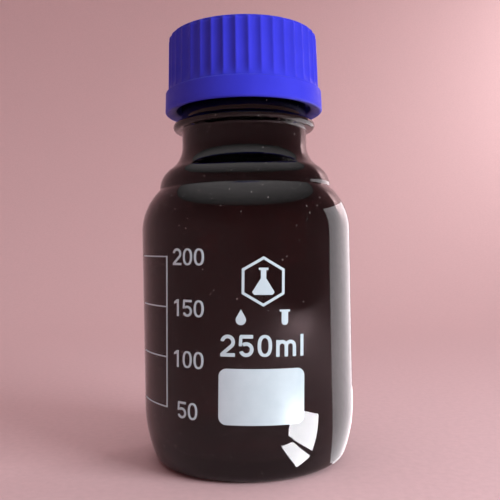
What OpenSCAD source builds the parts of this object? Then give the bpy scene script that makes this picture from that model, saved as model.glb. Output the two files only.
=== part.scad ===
// Laboratory screw-cap bottle with a 45 mm neck thread, a capacity of 250 ml,
// a pouring ring, a lined screw cap and fired enamel markings.
// The origin is the centre of the foot, +Z points up along the bottle's axis,
// and the markings face -Y.

/* [Glass body] */
// Outer diameter of the body
body_d = 70; // [68:0.5:72]
// Height of the glass, from the foot to the rim
glass_h = 138; // [137:0.5:141]
// Thickness of the body's wall
wall = 2.7; // [2:0.1:3.2]
// Height at which the straight wall turns into the shoulder
shoulder_z = 76.2; // [70:0.1:77]

/* [Neck] */
// Outer diameter of the neck, at the root of the thread
neck_d = 42.2; // [42:0.1:42.4]
// Diameter of the mouth
mouth_d = 30.4; // [28:0.1:32]
// Outer diameter of the bead under the cap
bead_d = 48; // [46:0.1:50]
// Rise of the thread in one turn
pitch = 4; // [3.8:0.1:4.2]
// Turns of thread on the neck
neck_turns = 2.25; // [1.5:0.05:2.25]

/* [Cap] */
// Height of the cap
cap_h = 25.9; // [25:0.1:27]
// Outer diameter of the plain band at the cap's lower edge
band_d = 53.1; // [52.6:0.1:56]
// Height of the plain band
band_h = 6.9; // [5:0.1:9]
// Outer diameter over the grip ribs, just above the band
grip_d = 50.9; // [50.5:0.1:52]
// Number of grip ribs
rib_count = 40; // [24:1:48]
// Turns of thread in the cap
cap_turns = 1.6; // [1:0.05:1.75]

/* [Markings] */
// Thickness of the fired enamel
enamel_t = 0.15; // [0.1:0.01:0.3]
// Angle by which the print leans to the right of the bottle's axis
print_lean = 1.5; // [0:0.1:3]
// Distance along the wall from the front to the middle of the panel
print_x = 4.6; // [-10:0.1:10]
// Distance between two graduation ticks, which is 50 ml of the body's inside
tick_step = 15.25; // [14.5:0.05:16]

/* [Hidden] */
$fn = 96;

// Colours
amber = [0.22, 0.09, 0.04];
cap_blue = [0.18, 0.17, 0.72];
silicone_red = [0.62, 0.20, 0.14];
ptfe_white = [0.93, 0.93, 0.90];
enamel_white = [0.86, 0.88, 0.90];

// Glass: radii and heights of the outline
body_r = body_d / 2;
neck_r = neck_d / 2;
mouth_r = mouth_d / 2;
heel_r = 45;               // slow curve of the wall down to the corner
heel_z = 19;               // height at which that curve starts
heel_angle = 20.6;         // how far it turns before the corner
foot_rise = 1.8;           // height of the hollow under the base
foot_in = 1.1;             // width of the flat ring that the bottle stands on
floor_t = 3.4;             // thickness of the glass at the edge of the floor
floor_rise = 1.4;          // height of the dome inside the floor
floor_corner = 9;          // radius between the floor and the inner wall
shoulder_r = 19.4;         // radius of the lower shoulder curve
shoulder_turn = 45.5;      // how far that curve turns before the step
step_in = 0.3;             // width of the mould step round the shoulder
upper_r = 8.5;             // radius of the upper shoulder curve
throat_r = 9.5;            // radius of the hollow curve under the neck
inner_throat_r = 14;       // radius of the same curve on the inside
bead_h = 2.7;              // height of the bead
bead_z = 110.2;            // lower edge of the bead
collar_h = 4.6;            // smooth collar above the thread, for the ring
collar_r = neck_r - 1.2;
groove_z = glass_h - 2.3;  // middle of the groove that the ring snaps into
rim_round = 1.2;

// Thread: the ridge's height and its half widths at the root and the crest
thread_h = 1.3;
ridge_root = 1.2;
ridge_crest = 0.55;
thread_z = glass_h - 7.5 - neck_turns * pitch;   // where its lower end starts
thread_gap = 0.35;         // radial clearance between the ridges and the walls
thread_play = 1.95;        // how far the cap's ridge lies under the neck's
thread_bury = 0.4;         // depth to which a ridge reaches into its wall
ridge_step = 10;           // degrees between two sections of a ridge
run_in = 40;               // degrees over which a ridge's ends rise

// Cap
cap_top = glass_h + 4;
cap_z = cap_top - cap_h;
cap_bore = neck_r + thread_h + thread_gap;
cap_top_t = 1.65;          // thickness of the cap's top
band_draft = 0.25;
grip_draft = 0.45;
rib_depth = 0.55;
rib_root = 3.0;            // half widths of a rib at its root and its crest,
rib_crest = 1.2;           // in degrees about the axis
cap_round = 1.8;           // rounding of the cap's top edge
rib_end = 0.7;             // the ribs stop this far under the cap's top
mouth_flare = 1.1;         // how much wider the cap's mouth is than its bore
edge_round = 0.7;          // rounding of the cap's lower edge
dish_r = 18;               // shallow dish in the cap's top
dish_t = 0.5;
lip_h = 0.6;               // ring that holds the liner in the cap
lip_r = neck_r + 0.65;
air = 0.05;                // gap between flat faces that only rest together

// Liner and pouring ring
liner_top = cap_top - cap_top_t - air;
liner_t = 0.9;
facing_t = 0.25;
liner_r = neck_r + 1;
facing_r = neck_r + 0.5;
ring_top = liner_top - liner_t - facing_t - 2 * air;
ring_r = neck_r - 0.1;
ring_h = ring_top - glass_h + 4;

// Markings: heights and sizes of what is printed
print_z = 45;              // height about which the print leans
stroke_step = 15;          // degrees between two points of a curved stroke
oval_power = 0.86;         // 1 gives an ellipse, less a squarer oval
scale_x = -27.05;          // the graduation line, along the wall from the front
scale_line = 0.5;
tick_len = 16.4;
tick_t = 0.4;
tick_z = 21.6;             // the lowest tick, 50 ml
numeral_x = -18.7;
numeral_size = [5.05, 3.3, 0.7];
capacity_size = [6.4, 4.3, 1.05];
capacity_z = 41.7;
capacity_left = 10.3;      // from the print's centre line back to the first digit
capacity_m = 17.3;         // from the first digit to the two unit letters
capacity_l = 22.4;
panel_size = [26, 16.4];
panel_round = 2.3;
panel_z = 26.8;
emblem_z = 60.4;
emblem_r = 7.3;
emblem_line = 0.9;
flask_size = [6.6, 7.6];   // width of the foot and height without the lip
flask_neck = 1.6;
flask_low = -3.9;
side_mark_z = 49.9;
side_mark_x = 6.5;

// ---- Outlines ----

// Points of an arc about [x, z], in equal steps of at most step degrees
function arc(x, z, r, from, to, step = 6) =
    let (steps = ceil(abs(to - from) / step))
    [for (i = [0 : steps])
        let (a = from + (to - from) * i / steps)
        [x + r * cos(a), z + r * sin(a)]];

// Points of a shallow dome from the axis, at height z + rise, out to [edge, z]
function dome(edge, z, rise) =
    let (r = (edge * edge + rise * rise) / (2 * rise), half = asin(edge / r))
    [for (i = [0 : 6])
        let (a = 90 - half * i / 6)
        [r * cos(a), z + rise - r + r * sin(a)]];

function reversed(points) = [for (i = [len(points) - 1 : -1 : 0]) points[i]];

// The height at which two touching arcs have their centres apart by dx
function centre_rise(r_sum, dx) = sqrt(r_sum * r_sum - dx * dx);

function outer_glass() =
    let (
        heel_x = body_r - heel_r,
        corner_x = heel_x + heel_r * cos(heel_angle),
        corner_z = heel_z - heel_r * sin(heel_angle),
        corner_r = corner_z / (1 - sin(heel_angle)),
        corner_cx = corner_x - corner_r * cos(heel_angle),
        shoulder_cx = body_r - shoulder_r,
        step_x = shoulder_cx + shoulder_r * cos(shoulder_turn) - step_in,
        step_z = shoulder_z + shoulder_r * sin(shoulder_turn) + step_in,
        upper_cx = step_x - upper_r,
        throat_cx = neck_r + throat_r,
        throat_cz = step_z + centre_rise(upper_r + throat_r, throat_cx - upper_cx),
        meet = atan2(throat_cz - step_z, throat_cx - upper_cx),
        bead_r = bead_h / 2,
        bead_cx = bead_d / 2 - bead_r
    )
    concat(
        dome(corner_cx - foot_in, 0, foot_rise),
        arc(corner_cx, corner_r, corner_r, -90, -heel_angle),
        arc(heel_x, heel_z, heel_r, -heel_angle + 2, 0),
        arc(shoulder_cx, shoulder_z, shoulder_r, 0, shoulder_turn),
        arc(upper_cx, step_z, upper_r, 0, meet),
        arc(throat_cx, throat_cz, throat_r, 180 + meet - 4, 180),
        [[neck_r, bead_z]],
        arc(bead_cx, bead_z + bead_r, bead_r, -90, 90),
        [
            [neck_r, bead_z + bead_h],
            [neck_r, glass_h - collar_h],
            [collar_r, glass_h - collar_h + 0.6],
            [collar_r, groove_z - 0.6],
            [collar_r - 0.45, groove_z],
            [collar_r, groove_z + 0.6]
        ],
        arc(collar_r - rim_round, glass_h - rim_round, rim_round, 0, 90)
    );

function inner_glass() =
    let (
        inner_r = body_r - wall,
        shoulder_cx = body_r - shoulder_r,
        inner_shoulder_r = shoulder_r - wall,
        throat_cx = mouth_r + inner_throat_r,
        rise = centre_rise(inner_shoulder_r + inner_throat_r, throat_cx - shoulder_cx),
        meet = atan2(rise, throat_cx - shoulder_cx)
    )
    concat(
        dome(inner_r - floor_corner, floor_t, floor_rise),
        arc(inner_r - floor_corner, floor_t + floor_corner, floor_corner, -84, 0),
        arc(shoulder_cx, shoulder_z, inner_shoulder_r, 0, meet),
        arc(throat_cx, shoulder_z + rise, inner_throat_r, 180 + meet - 6, 180),
        arc(mouth_r + rim_round, glass_h - rim_round, rim_round, 180, 90)
    );

// ---- Thread ----

// A ridge that climbs round the axis, from a wall at radius wall_r to its crest
// at radius crest_r, which lies inside the wall on a nut and outside on a bolt.
// Its middle starts at height z at the front. It reaches a little into the wall,
// and it rises out of the wall at one end and sinks back into it at the other.
module ridge(wall_r, crest_r, z, turns) {
    steps = round(turns * 360 / ridge_step);
    outward = crest_r > wall_r;
    root_r = wall_r + (outward ? -thread_bury : thread_bury);
    start_r = (wall_r + root_r) / 2;
    root_half = ridge_root + (ridge_root - ridge_crest) / thread_h * thread_bury;
    function at(i, r, dz) =
        let (a = i * ridge_step - 90)
        [r * cos(a), r * sin(a), z + i * ridge_step / 360 * pitch + dz];
    function section(i) =
        let (
            risen = min(1, min(i, steps - i) * ridge_step / run_in),
            tip_r = start_r + (crest_r - start_r) * risen
        )
        [
            at(i, root_r, -root_half), at(i, tip_r, -ridge_crest),
            at(i, tip_r, ridge_crest), at(i, root_r, root_half)
        ];
    points = [for (i = [0 : steps]) for (p = section(i)) p];
    sides = [for (i = [0 : steps - 1]) for (j = [0 : 3])
        let (a = i * 4 + j, b = i * 4 + (j + 1) % 4)
        for (f = [[a, b, a + 4], [b, b + 4, a + 4]]) f];
    ends = [[3, 2, 1, 0], [for (j = [0 : 3]) steps * 4 + j]];
    faces = concat(sides, ends);
    polyhedron(points, outward ? faces : [for (f = faces) reversed(f)], convexity = 8);
}

// ---- Glass, ring and cap ----

module glass_bottle() {
    color(amber)
    union() {
        rotate_extrude() polygon(concat(outer_glass(), reversed(inner_glass())));
        ridge(neck_r, neck_r + thread_h, thread_z, neck_turns);
    }
}

// The ring clips over the rim and snaps into the collar's groove
module pouring_ring() {
    inside = collar_r + air;
    low = ring_top - ring_h;
    color(cap_blue)
    rotate_extrude()
    polygon([
        [mouth_r + 0.5, glass_h + air],
        [inside, glass_h + air],
        [inside, groove_z + 0.5],
        [inside - 0.35, groove_z],
        [inside, groove_z - 0.5],
        [inside, low],
        [ring_r - 0.3, low],
        [ring_r, low + 0.4],
        [ring_r, ring_top - 0.4],
        [ring_r - 0.4, ring_top],
        [mouth_r + 0.9, ring_top],
        [mouth_r + 0.5, ring_top - 0.4]
    ]);
}

// The cap's outline: the band, then the wall at radius low to high, then the top
function cap_outline(low, high) =
    let (
        band_r = band_d / 2,
        band_top = cap_z + band_h
    )
    concat(
        [[0, cap_z]],
        arc(band_r - edge_round, cap_z + edge_round, edge_round, -90, 0),
        [
            [band_r - band_draft, band_top - 0.3],
            [band_r - band_draft - 0.3, band_top],
            [low, band_top + 0.35]
        ],
        arc(high - cap_round, cap_top - cap_round, cap_round, 0, 90),
        [[0, cap_top]]
    );

// Upright ribs whose crests lean in with the wall and end in a bevel
module grip_ribs() {
    grip_r = grip_d / 2;
    root_r = grip_r - 2 * rib_depth - grip_draft;
    low = cap_z + band_h - 0.5;
    corners = [[root_r, -rib_root], [grip_r, -rib_crest], [grip_r, rib_crest], [root_r, rib_root]];
    intersection() {
        rotate_extrude()
        polygon([
            [0, low], [grip_r, low],
            [grip_r - grip_draft, cap_top - cap_round],
            [grip_r - grip_draft - rib_depth, cap_top - rib_end],
            [0, cap_top - rib_end]
        ]);
        translate([0, 0, low - 1])
        linear_extrude(cap_h)
        polygon([
            for (i = [0 : rib_count - 1]) for (c = corners)
                let (a = (i + 0.5) * 360 / rib_count - 90 + c[1])
                c[0] * [cos(a), sin(a)]
        ]);
    }
}

// The hollow in the cap: a flared mouth, the bore, the lip and the liner's seat
module cap_inside() {
    ceiling = cap_top - cap_top_t;
    lip_z = glass_h + 0.2;
    seat_r = liner_r + 0.25;
    rotate_extrude()
    polygon([
        [0, cap_z - 1],
        [cap_bore + mouth_flare, cap_z - 1],
        [cap_bore + mouth_flare / 2, cap_z + mouth_flare / 4],
        [cap_bore, cap_z + 1.25 * mouth_flare],
        [cap_bore, lip_z - 1.2],
        [lip_r, lip_z],
        [lip_r, lip_z + lip_h],
        [seat_r, lip_z + lip_h + 0.1],
        [seat_r, ceiling],
        [0, ceiling]
    ]);
}

module screw_cap() {
    grip_r = grip_d / 2 - rib_depth;
    color(cap_blue)
    union() {
        difference() {
            union() {
                rotate_extrude() polygon(cap_outline(grip_r, grip_r - grip_draft));
                grip_ribs();
            }
            cap_inside();
            translate([0, 0, cap_top - dish_t])
            cylinder(h = 1, r1 = dish_r, r2 = dish_r + 1);
        }
        ridge(cap_bore, neck_r + thread_gap, thread_z - thread_play, cap_turns);
    }
}

module cap_liner() {
    color(silicone_red)
    translate([0, 0, liner_top - liner_t])
    cylinder(h = liner_t, r = liner_r);
}

module liner_facing() {
    color(ptfe_white)
    translate([0, 0, liner_top - liner_t - facing_t])
    cylinder(h = facing_t, r = facing_r);
}

// ---- Markings ----

// Places a flat drawing on the wall as a thin layer of enamel. x runs along
// the wall to the right of the front, z up, both before the print's lean.
module enamel(x, z) {
    along = x * cos(print_lean) + (z - print_z) * sin(print_lean);
    up = print_z - x * sin(print_lean) + (z - print_z) * cos(print_lean);
    angle = along / body_r * 180 / PI;
    color(enamel_white)
    intersection() {
        rotate([0, 0, angle])
        translate([0, -body_r / 2, up])
        rotate([90, 0, 0])
        rotate([0, 0, -print_lean])
        linear_extrude(body_r) children();
        difference() {
            cylinder(h = glass_h, r = body_r + enamel_t, $fn = 180);
            translate([0, 0, -1]) cylinder(h = glass_h + 2, r = body_r, $fn = 180);
        }
    }
}

// Points of an oval that is a little squarer than an ellipse
function oval(rx, ry) =
    [for (a = [0 : stroke_step : 359])
        let (c = cos(a), s = sin(a))
        [rx * sign(c) * pow(abs(c), oval_power), ry * sign(s) * pow(abs(s), oval_power)]];

// Strokes of thickness t: a curved one with outer radius r, and a straight one
module arc_stroke(x, y, r, t, from, to) {
    polygon(concat(
        arc(x, y, r, from, to, stroke_step),
        reversed(arc(x, y, r - t, from, to, stroke_step))
    ));
}

module line_stroke(p, q, t) {
    along = (q - p) / norm(q - p);
    side = [-along[1], along[0]] * t / 2;
    polygon([p + side, q + side, q - side, p - side]);
}

module bar(x, y, w, h) {
    translate([x, y]) square([w, h]);
}

// Every glyph is centred on the origin. size = [height, width, stroke].
module glyph_0(size) {
    h = size[0];
    w = size[1];
    t = size[2];
    difference() {
        polygon(oval(w / 2, h / 2));
        polygon(oval(w / 2 - t, h / 2 - 0.85 * t));
    }
}

module glyph_1(size) {
    h = size[0];
    w = size[1];
    t = size[2];
    bar(0, -h / 2, t, h);
    polygon([
        [0.01, h / 2], [0.01, h / 2 - 1.5 * t],
        [-w * 0.34, h / 2 - 2.0 * t], [-w * 0.34, h / 2 - 1.15 * t]
    ]);
}

module glyph_2(size) {
    h = size[0];
    w = size[1];
    t = size[2];
    r = w / 2;
    cy = h / 2 - r;
    end = -38;
    mid = r - t / 2;
    arc_stroke(0, cy, r, t, end, 172);
    line_stroke([mid * cos(end), cy + mid * sin(end)], [-w / 2 + t * 0.62, -h / 2 + t * 0.8], t);
    bar(-w / 2, -h / 2, w, t);
}

module glyph_5(size) {
    h = size[0];
    w = size[1];
    t = size[2];
    r = w / 2;
    cy = -h / 2 + r;
    arc_stroke(0, cy, r, t, -160, 128);
    line_stroke([-w * 0.36, h / 2 - t * 0.4], [-w * 0.40, cy + r * 0.45], t * 0.9);
    bar(-w * 0.42, h / 2 - t, w * 0.88, t);
}

module glyph_m(size) {
    h = size[0] * 0.76;
    t = size[2];
    w = size[1] * 1.45;
    arch = (w + t) / 4;
    low = -size[0] / 2;
    for (x = [-w / 2, -t / 2, w / 2 - t])
        bar(x, low, t, h - arch + 0.01);
    bar(-w / 2, low, t, h);
    for (x = [-w / 2 + arch, w / 2 - arch])
        arc_stroke(x, low + h - arch, arch, t, 0, 180);
}

module glyph_l(size) {
    bar(-size[2] / 2, -size[0] / 2, size[2], size[0]);
}

module digit(value, size) {
    if (value == 0) glyph_0(size);
    if (value == 1) glyph_1(size);
    if (value == 2) glyph_2(size);
    if (value == 5) glyph_5(size);
}

// A number beside its tick, centred on the column of numerals
module numeral(digits, tick) {
    advance = numeral_size[1] * 1.19;
    for (i = [0 : len(digits) - 1])
        enamel(numeral_x + (i - (len(digits) - 1) / 2) * advance, tick_z + tick * tick_step)
        digit(digits[i], numeral_size);
}

module numeral_50() {
    numeral([5, 0], 0);
}

module numeral_100() {
    numeral([1, 0, 0], 1);
}

module numeral_150() {
    numeral([1, 5, 0], 2);
}

module numeral_200() {
    numeral([2, 0, 0], 3);
}

module graduation_scale() {
    reach = tick_len / 2 - scale_line / 2;
    chord = body_r * sin(tick_len / 2 / body_r * 180 / PI);
    enamel(scale_x, tick_z + 1.5 * tick_step)
    square([scale_line, 3 * tick_step + tick_t], center = true);
    for (i = [0 : 3])
        enamel(scale_x - reach, tick_z + i * tick_step)
        square([2 * chord, tick_t], center = true);
}

module capacity_marking() {
    advance = capacity_size[1] * 1.26;
    first = print_x - capacity_left;
    number = [2, 5, 0];
    for (i = [0 : 2])
        enamel(first + i * advance, capacity_z) digit(number[i], capacity_size);
    enamel(first + capacity_m, capacity_z) glyph_m(capacity_size);
    enamel(first + capacity_l, capacity_z) glyph_l(capacity_size);
}

// A rectangle with rounded corners
module round_rectangle(w, h, r) {
    square([w - 2 * r, h], center = true);
    square([w, h - 2 * r], center = true);
    for (x = [-1, 1]) for (y = [-1, 1])
        translate([x * (w / 2 - r), y * (h / 2 - r)]) circle(r = r, $fn = 48);
}

module writing_panel() {
    half = body_r * sin(panel_size[0] / 2 / body_r * 180 / PI);
    enamel(print_x, panel_z) round_rectangle(2 * half, panel_size[1], panel_round);
}

// A conical flask inside a hexagon: a plain sign for laboratory glass
module flask_emblem() {
    foot = flask_size[0] / 2;
    top = flask_low + flask_size[1];
    neck = flask_neck / 2;
    slope_z = flask_low + 0.63 * flask_size[1];
    heel = 0.8;
    lip = 0.7;
    enamel(print_x, emblem_z) {
        difference() {
            rotate(30) circle(r = emblem_r, $fn = 6);
            rotate(30) circle(r = emblem_r - emblem_line, $fn = 6);
        }
        polygon([
            [-neck, top], [-neck, slope_z], [-foot, flask_low + heel],
            [heel - foot - 0.2, flask_low], [foot - heel + 0.2, flask_low],
            [foot, flask_low + heel], [neck, slope_z], [neck, top]
        ]);
        bar(-neck - 0.6, top - 0.4, flask_neck + 1.2, lip);
    }
}

// Two small signs under the emblem: a drop and a test tube
module side_marks() {
    drop_r = 1.5;
    drop_z = -0.7;
    tip = 3.1;
    touch = acos(drop_r / tip);
    tube_r = 1;
    tube_h = 3;
    tube_z = -1.2;
    rim_t = 0.6;
    enamel(print_x - side_mark_x, side_mark_z)
    polygon(concat(
        [[0, drop_z + tip]],
        arc(0, drop_z, drop_r, 90 + touch, 450 - touch, 10)
    ));
    enamel(print_x + side_mark_x, side_mark_z) {
        translate([0, tube_z]) circle(r = tube_r, $fn = 48);
        bar(-tube_r, tube_z, 2 * tube_r, tube_h);
        bar(-tube_r - rim_t, tube_z + tube_h - 0.1, 2 * (tube_r + rim_t), rim_t);
    }
}

glass_bottle();
pouring_ring();
screw_cap();
cap_liner();
liner_facing();
writing_panel();
graduation_scale();
numeral_50();
numeral_100();
numeral_150();
numeral_200();
capacity_marking();
flask_emblem();
side_marks();
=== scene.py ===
"""Looks of the laboratory screw-cap bottle: smooth meshes, materials, stage, light and camera.

Outlines and the camera's place are in millimetres, and lights and textures in metres.
"""
from math import atan2, ceil, cos, degrees, pi, radians, sin, sqrt

import bpy
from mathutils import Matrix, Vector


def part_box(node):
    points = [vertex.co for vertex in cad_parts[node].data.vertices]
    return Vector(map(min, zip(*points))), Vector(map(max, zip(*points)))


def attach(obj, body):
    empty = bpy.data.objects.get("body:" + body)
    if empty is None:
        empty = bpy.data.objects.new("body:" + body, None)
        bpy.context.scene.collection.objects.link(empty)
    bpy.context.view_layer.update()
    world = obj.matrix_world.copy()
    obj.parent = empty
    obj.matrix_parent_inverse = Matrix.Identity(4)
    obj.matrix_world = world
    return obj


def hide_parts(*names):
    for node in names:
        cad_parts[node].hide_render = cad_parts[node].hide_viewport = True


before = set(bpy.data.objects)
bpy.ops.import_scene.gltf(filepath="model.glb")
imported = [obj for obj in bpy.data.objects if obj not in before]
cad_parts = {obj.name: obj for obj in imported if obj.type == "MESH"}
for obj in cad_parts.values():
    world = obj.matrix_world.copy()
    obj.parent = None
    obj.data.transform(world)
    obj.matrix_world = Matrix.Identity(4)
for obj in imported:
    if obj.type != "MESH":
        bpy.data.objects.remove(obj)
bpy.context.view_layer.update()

MM = 0.001
SAME = 0.01                     # millimetres within which two places count as one

# ---- Sizes ----


def box_mm(node):
    """The lowest and highest corner of a CAD node, in millimetres."""
    low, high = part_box(node)
    return low / MM, high / MM


_, glass_high = box_mm("glass_bottle")
cap_low, cap_high = box_mm("screw_cap")
ring_low, ring_high = box_mm("pouring_ring")
liner_low, liner_high = box_mm("cap_liner")
facing_low, facing_high = box_mm("liner_facing")

AIR = 0.05                      # gap between pieces that touch
WALL = 2.7                      # thickness of the glass
RIM_ROUND = 1.2                 # rounding of the glass's rim

body_r = glass_high.x
glass_h = glass_high.z
ring_r = ring_high.x
neck_r = ring_r + 0.1           # the ring lies a little inside the neck's outline
mouth_r = neck_r - 5.9
collar_r = neck_r - 1.2         # smooth collar above the thread, for the pouring ring
collar_low = glass_h - 4.6
groove_z = glass_h - 2.3        # middle of the collar's groove

# ---- Outlines ----


def arc(x, z, r, start, end, step=3.0):
    """Points of an arc about (x, z), with angles in degrees."""
    steps = max(1, ceil(abs(end - start) / step))
    angles = [radians(start + (end - start) * i / steps) for i in range(steps + 1)]
    return [(x + r * cos(a), z + r * sin(a)) for a in angles]


def dome(edge, z, rise, steps=12):
    """A shallow dome from the axis, at height z + rise, out to (edge, z)."""
    r = (edge * edge + rise * rise) / (2 * rise)
    half = degrees(atan2(edge, r - rise))
    return arc(0, z + rise - r, r, 90, 90 - half, half / steps)


def upright(r, low, high, step):
    """Points up (or down) a straight wall of radius r."""
    steps = max(1, round(abs(high - low) / step))
    return [(r, low + (high - low) * i / steps) for i in range(steps + 1)]


def slope(start, end, steps):
    """Points along a straight line from start to end."""
    return [
        (start[0] + (end[0] - start[0]) * i / steps, start[1] + (end[1] - start[1]) * i / steps)
        for i in range(steps + 1)
    ]


def without_repeats(points):
    """The same outline with points closer than a hair's breadth merged."""
    kept = [points[0]]
    for p in points[1:]:
        if abs(p[0] - kept[-1][0]) + abs(p[1] - kept[-1][1]) > SAME:
            kept.append(p)
    return kept


# ---- Meshes ----


def make_object(name, points, faces, material):
    """A smooth-shaded mesh object from points in millimetres."""
    mesh = bpy.data.meshes.new(name)
    mesh.from_pydata([(x * MM, y * MM, z * MM) for x, y, z in points], [], faces)
    mesh.materials.append(material)
    mesh.shade_smooth()
    mesh.update()
    obj = bpy.data.objects.new(name, mesh)
    bpy.context.scene.collection.objects.link(obj)
    return obj


def lathe(name, outline, material, segments=192, shape=None, closed=False):
    """Turns an outline of (radius, height) round the axis.

    shape(radius, height, angle) gives a point's own radius, for ribs and threads; angle is
    in degrees from the front. An open outline starts and ends on the axis or in the open.
    """
    outline = without_repeats(outline)
    points = []
    rows = []
    for r, z in outline:
        if r < 0.001:
            rows.append([len(points)] * segments)
            points.append((0, 0, z))
            continue
        rows.append([len(points) + j for j in range(segments)])
        for j in range(segments):
            angle = 360 * j / segments
            own = shape(r, z, angle) if shape else r
            turn = radians(angle - 90)
            points.append((own * cos(turn), own * sin(turn), z))
    pairs = list(zip(rows, rows[1:] + rows[:1])) if closed else list(zip(rows, rows[1:]))
    faces = []
    for low, high in pairs:
        for j in range(segments):
            k = (j + 1) % segments
            corners = []
            for index in (low[j], low[k], high[k], high[j]):
                if index not in corners:
                    corners.append(index)
            if len(corners) > 2:
                faces.append(corners)
    return make_object(name, points, faces, material)


# ---- Thread ----

PITCH = 4.0
NECK_TURNS = 2.25
CAP_TURNS = 1.6
THREAD_H = 1.3                                   # height of a ridge on its wall
THREAD_Z = glass_h - 7.5 - NECK_TURNS * PITCH    # where the neck's ridge starts
THREAD_PLAY = 1.95                               # how far the cap's ridge lies under the neck's
THREAD_GAP = 0.35                                # from a ridge's crest to the wall that faces it
RIDGE_ROOT = 1.25                                # half a ridge's width at its wall
RIDGE_CREST = 0.4                                # and at its crest
RUN_IN = 40 / 360                                # part of a turn in which a ridge rises


def smooth(x):
    """Rises smoothly from 0 to 1 as x does."""
    x = min(1.0, max(0.0, x))
    return x * x * (3 - 2 * x)


def ridge_height(z, angle, start_z, turns):
    """The height of a helical ridge, from 0 to 1, at a place on the wall."""
    round_part = angle / 360
    turn = round((z - start_z) / PITCH - round_part) + round_part
    if not 0 <= turn <= turns:
        return 0.0
    across = abs(z - start_z - turn * PITCH)
    ends = smooth(min(turn, turns - turn) / RUN_IN)
    return ends * smooth((RIDGE_ROOT - across) / (RIDGE_ROOT - RIDGE_CREST))


# ---- Materials ----


def new_material(name):
    """A material with its nodes, its links and its Principled shader."""
    material = bpy.data.materials.new(name)
    material.use_nodes = True
    nodes = material.node_tree.nodes
    return material, nodes, material.node_tree.links, nodes["Principled BSDF"]


def noise(nodes, links, scale, detail=2.0, stretch=(1, 1, 1)):
    """A noise texture in object space; scale is in features a metre."""
    place = nodes.new("ShaderNodeTexCoord")
    mapping = nodes.new("ShaderNodeMapping")
    mapping.inputs["Scale"].default_value = stretch
    texture = nodes.new("ShaderNodeTexNoise")
    texture.inputs["Scale"].default_value = scale
    texture.inputs["Detail"].default_value = detail
    links.new(place.outputs["Object"], mapping.inputs["Vector"])
    links.new(mapping.outputs["Vector"], texture.inputs["Vector"])
    return texture.outputs["Fac"]


def specks(nodes, links, scale):
    """The distance to the nearest of many scattered points, in steps of their spacing."""
    place = nodes.new("ShaderNodeTexCoord")
    texture = nodes.new("ShaderNodeTexVoronoi")
    texture.inputs["Scale"].default_value = scale
    links.new(place.outputs["Object"], texture.inputs["Vector"])
    return texture.outputs["Distance"]


def between(nodes, links, factor, low, high, start=0.3, end=0.7):
    """Maps a texture's value from start..end to low..high."""
    remap = nodes.new("ShaderNodeMapRange")
    remap.inputs["From Min"].default_value = start
    remap.inputs["From Max"].default_value = end
    remap.inputs["To Min"].default_value = low
    remap.inputs["To Max"].default_value = high
    links.new(factor, remap.inputs["Value"])
    return remap.outputs["Result"]


def colours(nodes, links, factor, first, second):
    """Blends two colours by a texture's value."""
    ramp = nodes.new("ShaderNodeValToRGB")
    ramp.color_ramp.elements[0].position = 0.3
    ramp.color_ramp.elements[1].position = 0.7
    ramp.color_ramp.elements[0].color = (*first, 1)
    ramp.color_ramp.elements[1].color = (*second, 1)
    links.new(factor, ramp.inputs["Fac"])
    return ramp.outputs["Color"]


def bump(nodes, links, shader, height, strength, distance):
    """Adds relief to a shader; distance is in metres."""
    node = nodes.new("ShaderNodeBump")
    node.inputs["Strength"].default_value = strength
    node.inputs["Distance"].default_value = distance
    links.new(height, node.inputs["Height"])
    links.new(node.outputs["Normal"], shader.inputs["Normal"])


def add_dust(nodes, links, shader, output):
    """Lays sparse specks of dust over a shader."""
    dust = nodes.new("ShaderNodeBsdfDiffuse")
    dust.inputs["Color"].default_value = (0.62, 0.55, 0.52, 1)
    distance = specks(nodes, links, scale=350)
    cover = between(nodes, links, distance, low=0.5, high=0.0, start=0.04, end=0.08)
    dusty = nodes.new("ShaderNodeMixShader")
    links.new(cover, dusty.inputs["Fac"])
    links.new(shader.outputs["BSDF"], dusty.inputs[1])
    links.new(dust.outputs["BSDF"], dusty.inputs[2])
    links.new(dusty.outputs["Shader"], output.inputs["Surface"])


def amber_glass():
    """Dark amber borosilicate glass: slow waves in the wall, faint handling marks and dust."""
    material, nodes, links, shader = new_material("amber_glass")
    shader.inputs["Base Color"].default_value = (1, 1, 1, 1)
    shader.inputs["Transmission Weight"].default_value = 1
    shader.inputs["IOR"].default_value = 1.48
    shader.inputs["Specular IOR Level"].default_value = 0.4
    marks = noise(nodes, links, scale=90, detail=6, stretch=(1, 1, 0.4))
    dullness = between(nodes, links, marks, low=0.0, high=0.06, start=0.45, end=0.8)
    links.new(dullness, shader.inputs["Roughness"])
    waves = noise(nodes, links, scale=35, detail=1, stretch=(1, 1, 0.6))
    bump(nodes, links, shader, waves, strength=0.25, distance=0.0008)
    output = nodes["Material Output"]
    add_dust(nodes, links, shader, output)
    depth = nodes.new("ShaderNodeVolumeAbsorption")
    depth.inputs["Color"].default_value = (0.52, 0.16, 0.12, 1)
    depth.inputs["Density"].default_value = 1900
    links.new(depth.outputs["Volume"], output.inputs["Volume"])
    return material


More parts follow.
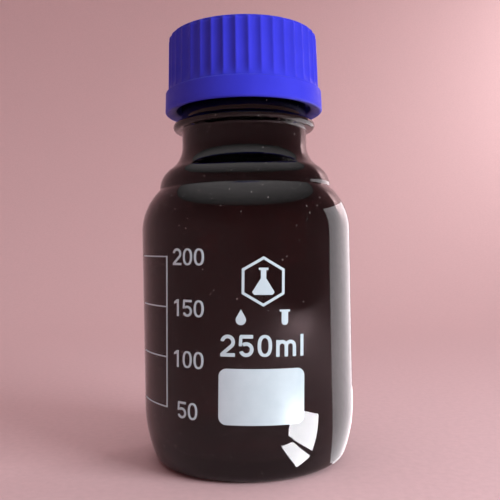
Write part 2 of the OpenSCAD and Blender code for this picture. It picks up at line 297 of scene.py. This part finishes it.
def blue_plastic():
    """Moulded blue polypropylene with a fine grain and rubbed patches."""
    material, nodes, links, shader = new_material("blue_polypropylene")
    tone = noise(nodes, links, scale=60, detail=4)
    blend = colours(nodes, links, tone, (0.026, 0.032, 0.52), (0.034, 0.040, 0.60))
    links.new(blend, shader.inputs["Base Color"])
    rubbed = noise(nodes, links, scale=220, detail=5)
    links.new(between(nodes, links, rubbed, low=0.42, high=0.6), shader.inputs["Roughness"])
    shader.inputs["Specular IOR Level"].default_value = 0.35
    shader.inputs["Subsurface Weight"].default_value = 0.08
    shader.inputs["Subsurface Radius"].default_value = (0.2, 0.2, 1.0)
    shader.inputs["Subsurface Scale"].default_value = 0.0008
    grain = noise(nodes, links, scale=3500, detail=3)
    bump(nodes, links, shader, grain, strength=0.25, distance=0.00006)
    return material


def enamel():
    """White fired enamel: slightly mottled, with an uneven satin surface."""
    material, nodes, links, shader = new_material("white_enamel")
    cloud = noise(nodes, links, scale=260, detail=5)
    blend = colours(nodes, links, cloud, (0.50, 0.66, 0.70), (0.55, 0.71, 0.75))
    links.new(blend, shader.inputs["Base Color"])
    patches = noise(nodes, links, scale=900, detail=4)
    links.new(between(nodes, links, patches, low=0.28, high=0.5), shader.inputs["Roughness"])
    shader.inputs["IOR"].default_value = 1.52
    pits = noise(nodes, links, scale=5000, detail=2)
    bump(nodes, links, shader, pits, strength=0.3, distance=0.00005)
    return material


def silicone():
    """Red-brown silicone rubber with a dusty, matt skin."""
    material, nodes, links, shader = new_material("red_silicone")
    tone = noise(nodes, links, scale=300, detail=4)
    blend = colours(nodes, links, tone, (0.38, 0.07, 0.04), (0.47, 0.10, 0.06))
    links.new(blend, shader.inputs["Base Color"])
    dust = noise(nodes, links, scale=1200, detail=3)
    links.new(between(nodes, links, dust, low=0.55, high=0.8), shader.inputs["Roughness"])
    bump(nodes, links, shader, dust, strength=0.3, distance=0.0001)
    return material


def ptfe():
    """White PTFE film with fine skiving lines."""
    material, nodes, links, shader = new_material("white_ptfe")
    tone = noise(nodes, links, scale=200, detail=3)
    blend = colours(nodes, links, tone, (0.76, 0.76, 0.72), (0.86, 0.86, 0.83))
    links.new(blend, shader.inputs["Base Color"])
    lines = noise(nodes, links, scale=1500, detail=3, stretch=(0.1, 1, 1))
    links.new(between(nodes, links, lines, low=0.35, high=0.55), shader.inputs["Roughness"])
    bump(nodes, links, shader, lines, strength=0.3, distance=0.00005)
    return material


def backdrop_paper():
    """Pale dusty-pink paper for the floor and backdrop, quite without gloss."""
    material, nodes, links, shader = new_material("backdrop_paper")
    fibres = noise(nodes, links, scale=400, detail=4)
    blend = colours(nodes, links, fibres, (0.69, 0.47, 0.48), (0.73, 0.50, 0.51))
    links.new(blend, shader.inputs["Base Color"])
    shader.inputs["Roughness"].default_value = 0.9
    shader.inputs["Specular IOR Level"].default_value = 0
    bump(nodes, links, shader, fibres, strength=0.2, distance=0.0004)
    return material


# ---- Glass ----

SHOULDER_R = 19.4               # rounding of the shoulder
SHOULDER_Z = 76.2               # where it starts


def base_and_body():
    """The glass's outer section from the axis under its base up to the shoulder."""
    base_rise, foot_inset = 1.8, 1.1
    heel_r, heel_z, heel_turn = 45, 19, 20.6
    heel_cx = body_r - heel_r
    corner_x = heel_cx + heel_r * cos(radians(heel_turn))
    corner_z = heel_z - heel_r * sin(radians(heel_turn))
    corner_r = corner_z / (1 - sin(radians(heel_turn)))
    corner_cx = corner_x - corner_r * cos(radians(heel_turn))
    return (
        dome(corner_cx - foot_inset, 0, base_rise)
        + arc(corner_cx, corner_r, corner_r, -90, -heel_turn)
        + arc(heel_cx, heel_z, heel_r, -heel_turn, 0, 1)
        + upright(body_r, heel_z, SHOULDER_Z, 6)
    )


def shoulder_and_throat():
    """From the body over the shoulder's small step and up into the neck."""
    turn, step = 45.5, 0.3
    upper_r, throat_r = 8.5, 9.5
    cx = body_r - SHOULDER_R
    step_x = cx + SHOULDER_R * cos(radians(turn)) - step
    step_z = SHOULDER_Z + SHOULDER_R * sin(radians(turn)) + step
    upper_cx = step_x - upper_r
    throat_cx = neck_r + throat_r
    throat_cz = step_z + sqrt((upper_r + throat_r) ** 2 - (throat_cx - upper_cx) ** 2)
    meet = degrees(atan2(throat_cz - step_z, throat_cx - upper_cx))
    return (
        arc(cx, SHOULDER_Z, SHOULDER_R, 0, turn, 1.5)
        + arc(upper_cx, step_z, upper_r, 0, meet)
        + arc(throat_cx, throat_cz, throat_r, 180 + meet, 180)
    )


def neck_and_rim():
    """Over the neck's bead, up the threaded wall and the grooved collar to the rim's top."""
    bead_low, bead_r, bead_edge, fillet = 110.2, 1.35, 24.0, 0.8
    bead_high = bead_low + 2 * bead_r
    rim_z = glass_h - RIM_ROUND
    return (
        arc(neck_r + fillet, bead_low - fillet, fillet, 180, 90, 15)
        + arc(bead_edge - bead_r, bead_low + bead_r, bead_r, -90, 90, 10)
        + arc(neck_r + fillet, bead_high + fillet, fillet, 270, 180, 15)
        + upright(neck_r, bead_high + 1.5, THREAD_Z - 2, 0.5)
        + upright(neck_r, THREAD_Z - 2, collar_low, 0.2)
        + [(collar_r + 0.15, collar_low + 0.5), (collar_r, collar_low + 0.8)]
        + arc(collar_r + 0.1, groove_z, 0.5, 250, 110, 20)
        + arc(collar_r - RIM_ROUND, rim_z, RIM_ROUND, 0, 90, 9)
    )


def glass_inside():
    """The hollow's section, from the axis on the floor up to the rim's top."""
    inner_r = body_r - WALL
    floor_r, floor_z, floor_rise = 9, 3.4, 1.4
    shoulder_r, throat_r = SHOULDER_R - WALL, 14
    shoulder_cx = body_r - SHOULDER_R
    throat_cx = mouth_r + throat_r
    rise = sqrt((shoulder_r + throat_r) ** 2 - (throat_cx - shoulder_cx) ** 2)
    meet = degrees(atan2(rise, throat_cx - shoulder_cx))
    throat_z = SHOULDER_Z + rise
    rim_z = glass_h - RIM_ROUND
    return (
        dome(inner_r - floor_r, floor_z, floor_rise)
        + arc(inner_r - floor_r, floor_z + floor_r, floor_r, -87, 0)
        + upright(inner_r, floor_z + floor_r, SHOULDER_Z, 6)
        + arc(shoulder_cx, SHOULDER_Z, shoulder_r, 0, meet)
        + arc(throat_cx, throat_z, throat_r, 180 + meet, 180)
        + upright(mouth_r, throat_z, rim_z, 4)
        + arc(mouth_r + RIM_ROUND, rim_z, RIM_ROUND, 180, 90, 9)
    )


def glass_body():
    """The glass bottle, with its thread on the neck."""
    outline = base_and_body() + shoulder_and_throat() + neck_and_rim() + glass_inside()[::-1]

    def threaded(r, z, angle):
        if abs(r - neck_r) > SAME or z < THREAD_Z - 3:
            return r
        return r + THREAD_H * ridge_height(z, angle, THREAD_Z, NECK_TURNS)

    glass = lathe("glass_body", outline, amber_glass(), 256, threaded)
    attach(glass, "bottle")
    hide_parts("glass_bottle")


# ---- Cap ----

RIBS = 40
RIB_DEPTH = 0.7
SAMPLES_A_RIB = 12
CAP_ROUND = 1.6                 # rounding of the edge of the cap's top
BAND_H = 6.9                    # height of the smooth band under the ribs
CAP_TOP_T = 1.65                # thickness of the cap's top
cap_bore = neck_r + THREAD_H + THREAD_GAP
band_top = cap_low.z + BAND_H
round_low = cap_high.z - CAP_ROUND


def cap_inside():
    """From the axis under the cap's top, past the liner's seat and lip, down the bore."""
    low, ceiling = cap_low.z, cap_high.z - CAP_TOP_T
    seat_r, soft = liner_high.x + 0.25, 0.3
    lip_r, lip_low, lip_high = neck_r + 0.65, glass_h + 0.2, glass_h + 0.8
    mouth_flare = 1.0
    return (
        [(0, ceiling)]
        + arc(seat_r - soft, ceiling - soft, soft, 90, 0, 30)
        + [(seat_r, lip_high + 0.15)]
        + arc(lip_r + soft, lip_high - soft, soft, 90, 270, 30)
        + [(cap_bore - 0.2, lip_low - 1.1), (cap_bore, lip_low - 1.6)]
        + upright(cap_bore, lip_low - 1.7, low + 1.7, 0.35)
        + arc(cap_bore + mouth_flare, low + 1.5, mouth_flare, 180, 225, 15)
    )


def cap_outside():
    """Up the smooth band and the ribbed grip to the edge of the cap's top."""
    low, band_r = cap_low.z, cap_high.x
    grip_r, grip_top_r = 25.43, 24.98
    edge, bead, groove = 0.75, 0.45, 0.35
    grip_low = band_top + 0.4
    return (
        arc(band_r - edge, low + edge, edge, -100, -5, 12)
        + [(band_r - 0.05, low + 2), (band_r - 0.12, low + 4), (band_r - 0.2, band_top - 0.6)]
        + arc(band_r - 0.2 - bead, band_top - bead, bead, 0, 80, 20)
        + arc(grip_r + groove, band_top + groove, groove, 260, 180, 20)
        + slope((grip_r, grip_low), (grip_top_r, round_low), 8)
        + arc(grip_top_r - CAP_ROUND, round_low, CAP_ROUND, 0, 90, 6)
    )


def cap_dish():
    """The shallow dish in the cap's top, with the mould's mark in the middle."""
    top, dish_z, mark_z = cap_high.z, cap_high.z - 0.68, cap_high.z - 0.95
    dish_edge, soft = 19.1, 0.5
    mark_edge, mark_soft = 2.05, 0.15
    return (
        arc(dish_edge + soft, top - soft, soft, 90, 180, 22.5)
        + arc(dish_edge - soft, dish_z + soft, soft, 0, -90, 22.5)
        + [(18.3, dish_z), (2.6, dish_z)]
        + arc(mark_edge + mark_soft, dish_z - mark_soft, mark_soft, 90, 180, 30)
        + arc(mark_edge - mark_soft, mark_z + mark_soft, mark_soft, 0, -90, 30)
        + [(1.5, mark_z), (0, mark_z)]
    )


def cap_shell():
    """The screw cap, with its ribs outside and its thread in the bore.

    A known fault: the ribs' waves also mark the liner's seat and lip inside, which are wider
    than ribbed_from, and there they cut up to 0.45 mm into the liner.
    """
    step = 360 / RIBS
    ribs_low, run_in, ribbed_from = band_top + 0.3, 0.9, 21
    fade_low, fade = round_low + 0.4 * CAP_ROUND, 0.55 * CAP_ROUND

    def shaped(r, z, angle):
        if abs(r - cap_bore) < SAME:
            ridge = ridge_height(z, angle, THREAD_Z - THREAD_PLAY, CAP_TURNS)
            return r - THREAD_H * ridge
        if r < ribbed_from or z < ribs_low:
            return r
        across = (angle / step + 0.5) % 1.0 - 0.5
        start = smooth((z - ribs_low) / run_in)
        end = 1 - smooth((z - fade_low) / fade)
        return r - RIB_DEPTH * start * end * (1 - (2 * across) ** 2)

    outline = cap_inside() + cap_outside() + cap_dish()
    cap = lathe("cap_shell", outline, blue_plastic(), RIBS * SAMPLES_A_RIB, shaped)
    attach(cap, "cap")
    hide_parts("screw_cap")


# ---- Ring, liner, facing and enamel ----


def pour_ring(plastic):
    """The pouring ring: a soft-edged skirt, a snap bead and a thin lip to pour over."""
    low, high = ring_low.z, ring_high.z
    inside, lip = collar_r + AIR, mouth_r + 0.5
    thin, soft, snap = 0.2, 0.3, 0.3
    tip = 0.25
    outline = (
        arc(lip + thin, glass_h + tip, thin, 180, 270, 30)
        + [(inside - 0.1, glass_h + AIR)]
        + arc(inside, groove_z, snap, 120, 240, 20)
        + [(inside, low + thin)]
        + arc(inside + thin, low + thin, thin, 180, 270, 30)
        + arc(ring_r - soft, low + soft, soft, 270, 360, 30)
        + arc(ring_r - soft, high - soft, soft, 0, 90, 30)
        + [(ring_r - 1.4, high), (ring_r - 1.9, high - tip), (lip + 0.9, high - tip)]
        + arc(lip + tip, high - tip, tip, 60, 180, 30)
    )
    ring = lathe("pour_ring", outline, plastic, 160, closed=True)
    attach(ring, "bottle")
    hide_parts("pouring_ring")


def disc(name, low, high, material, body, node):
    """A soft disc with rounded edges and the rim's print pressed into its underside."""
    r, z0, z1 = high.x, low.z, high.z
    edge = (z1 - z0) * 0.35
    dent = (z1 - z0) * 0.08
    print_r, half_width = (mouth_r + collar_r) / 2, 2.2
    rim_print = [
        (print_r + half_width * cos(radians(a)), z0 + dent * sin(radians(a)))
        for a in range(180, -1, -15)
    ]
    outline = (
        [(0, z0)]
        + rim_print
        + arc(r - edge, z0 + edge, edge, -90, 0, 30)
        + arc(r - edge, z1 - edge, edge, 0, 90, 30)
        + [(0, z1)]
    )
    piece = lathe(name, outline, material, 160)
    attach(piece, body)
    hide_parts(node)


def dress_enamel():
    """The enamel keeps its CAD shape and takes the fired enamel's material."""
    material = enamel()
    for name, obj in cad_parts.items():
        if name.startswith(("numeral", "writing", "graduation", "capacity", "flask", "side")):
            obj.data.materials.clear()
            obj.data.materials.append(material)


# ---- Stage, light and camera ----


def build_stage():
    """A floor that curves up into a round backdrop, so that every view has the same ground."""
    radius, bend, top = 1300, 900, 1250
    flat = radius - bend
    outline = (
        [(r, 0) for r in (0, 60, 120, 200, 300, flat)]
        + arc(flat, bend, bend, -90, 0, 4)
        + [(radius, top)]
    )
    stage = lathe("backdrop", outline, backdrop_paper(), 96)


def area_light(name, place, tilt, turn, size, power, colour=(1, 1, 1)):
    """A panel of light that the camera doesn't see; place and size are in metres.

    It faces down when its tilt is 0, level and along +Y when it is 90, and up when it is 180
    degrees, and is then turned about the upright axis.
    """
    data = bpy.data.lights.new(name, "AREA")
    data.shape = "RECTANGLE"
    data.size, data.size_y = size
    data.energy = power
    data.color = colour
    light = bpy.data.objects.new(name, data)
    bpy.context.scene.collection.objects.link(light)
    light.location = place
    light.rotation_euler = (radians(tilt), 0, radians(turn))
    light.visible_camera = False
    return light


def add_card(name, place, tilt, turn, size, radiance):
    """A white card that only glossy surfaces mirror."""
    power = radiance * pi * size[0] * size[1]
    card = area_light(name, place, tilt, turn, size, power, (0.97, 0.96, 1))
    card.visible_diffuse = False
    card.visible_transmission = False


def build_lights():
    """A soft lamp at the right, one far behind the bottle, and cards for its highlights.

    The rim cards, one upright and one on the floor in front of it, make the pale band along
    the glass's right edge, and the panes the two parts of the window at its lower right.
    """
    key = area_light("key", (0.40, -0.29, 0.2), 74, 54, (0.28, 0.28), 3.1, (0.90, 0.95, 1.0))
    key.visible_glossy = False
    back = area_light("back", (0.8, 0.7, 0.6), 60, 40, (0.4, 0.4), 5)
    back.visible_glossy = False
    add_card("rim_card", (0.0841, 0.0481, 0.056), 90, 96, (0.12, 0.11), 1.8)
    add_card("rim_card_low", (0.0523, 0.0448, 0.001), 180, 96, (0.12, 0.064), 1.8)
    add_card("low_pane", (0.0229, -0.0382, 0.001), 180, 8.5, (0.0095, 0.0165), 22)
    add_card("high_pane", (0.031, -0.0425, 0.0094), 90, 94.6, (0.025, 0.0168), 22)


def build_sky():
    """A sky above the backdrop's edge that brightens evenly towards the top."""
    world = bpy.data.worlds.new("studio")
    world.use_nodes = True
    nodes, links = world.node_tree.nodes, world.node_tree.links
    place = nodes.new("ShaderNodeTexCoord")
    split = nodes.new("ShaderNodeSeparateXYZ")
    links.new(place.outputs["Generated"], split.inputs["Vector"])
    sky = nodes["Background"]
    sky.inputs["Color"].default_value = (0.95, 0.88, 0.90, 1)
    brightness = between(nodes, links, split.outputs["Z"], low=0.15, high=1.2, start=0.65, end=1.0)
    links.new(brightness, sky.inputs["Strength"])
    bpy.context.scene.world = world


def build_camera():
    """Close in front at half the bottle's height, turned a little clockwise."""
    data = bpy.data.cameras.new("camera")
    data.sensor_width = 36
    data.lens = 48.14
    data.shift_y = 0.0156
    data.clip_start = 0.01
    camera = bpy.data.objects.new("camera", data)
    bpy.context.scene.collection.objects.link(camera)
    distance = 6.53 * body_r
    camera.location = (1.2 * MM, -distance * MM, 67.2 * MM)
    camera.rotation_euler = (pi / 2, radians(1.07), 0)
    bpy.context.scene.camera = camera


build_camera()
glass_body()
cap_shell()
pour_ring(bpy.data.materials["blue_polypropylene"])
disc("liner_disc", liner_low, liner_high, silicone(), "seal", "cap_liner")
disc("facing_disc", facing_low, facing_high, ptfe(), "seal", "liner_facing")
dress_enamel()
build_stage()
build_lights()
build_sky()
bpy.context.scene.view_settings.view_transform = "Standard"
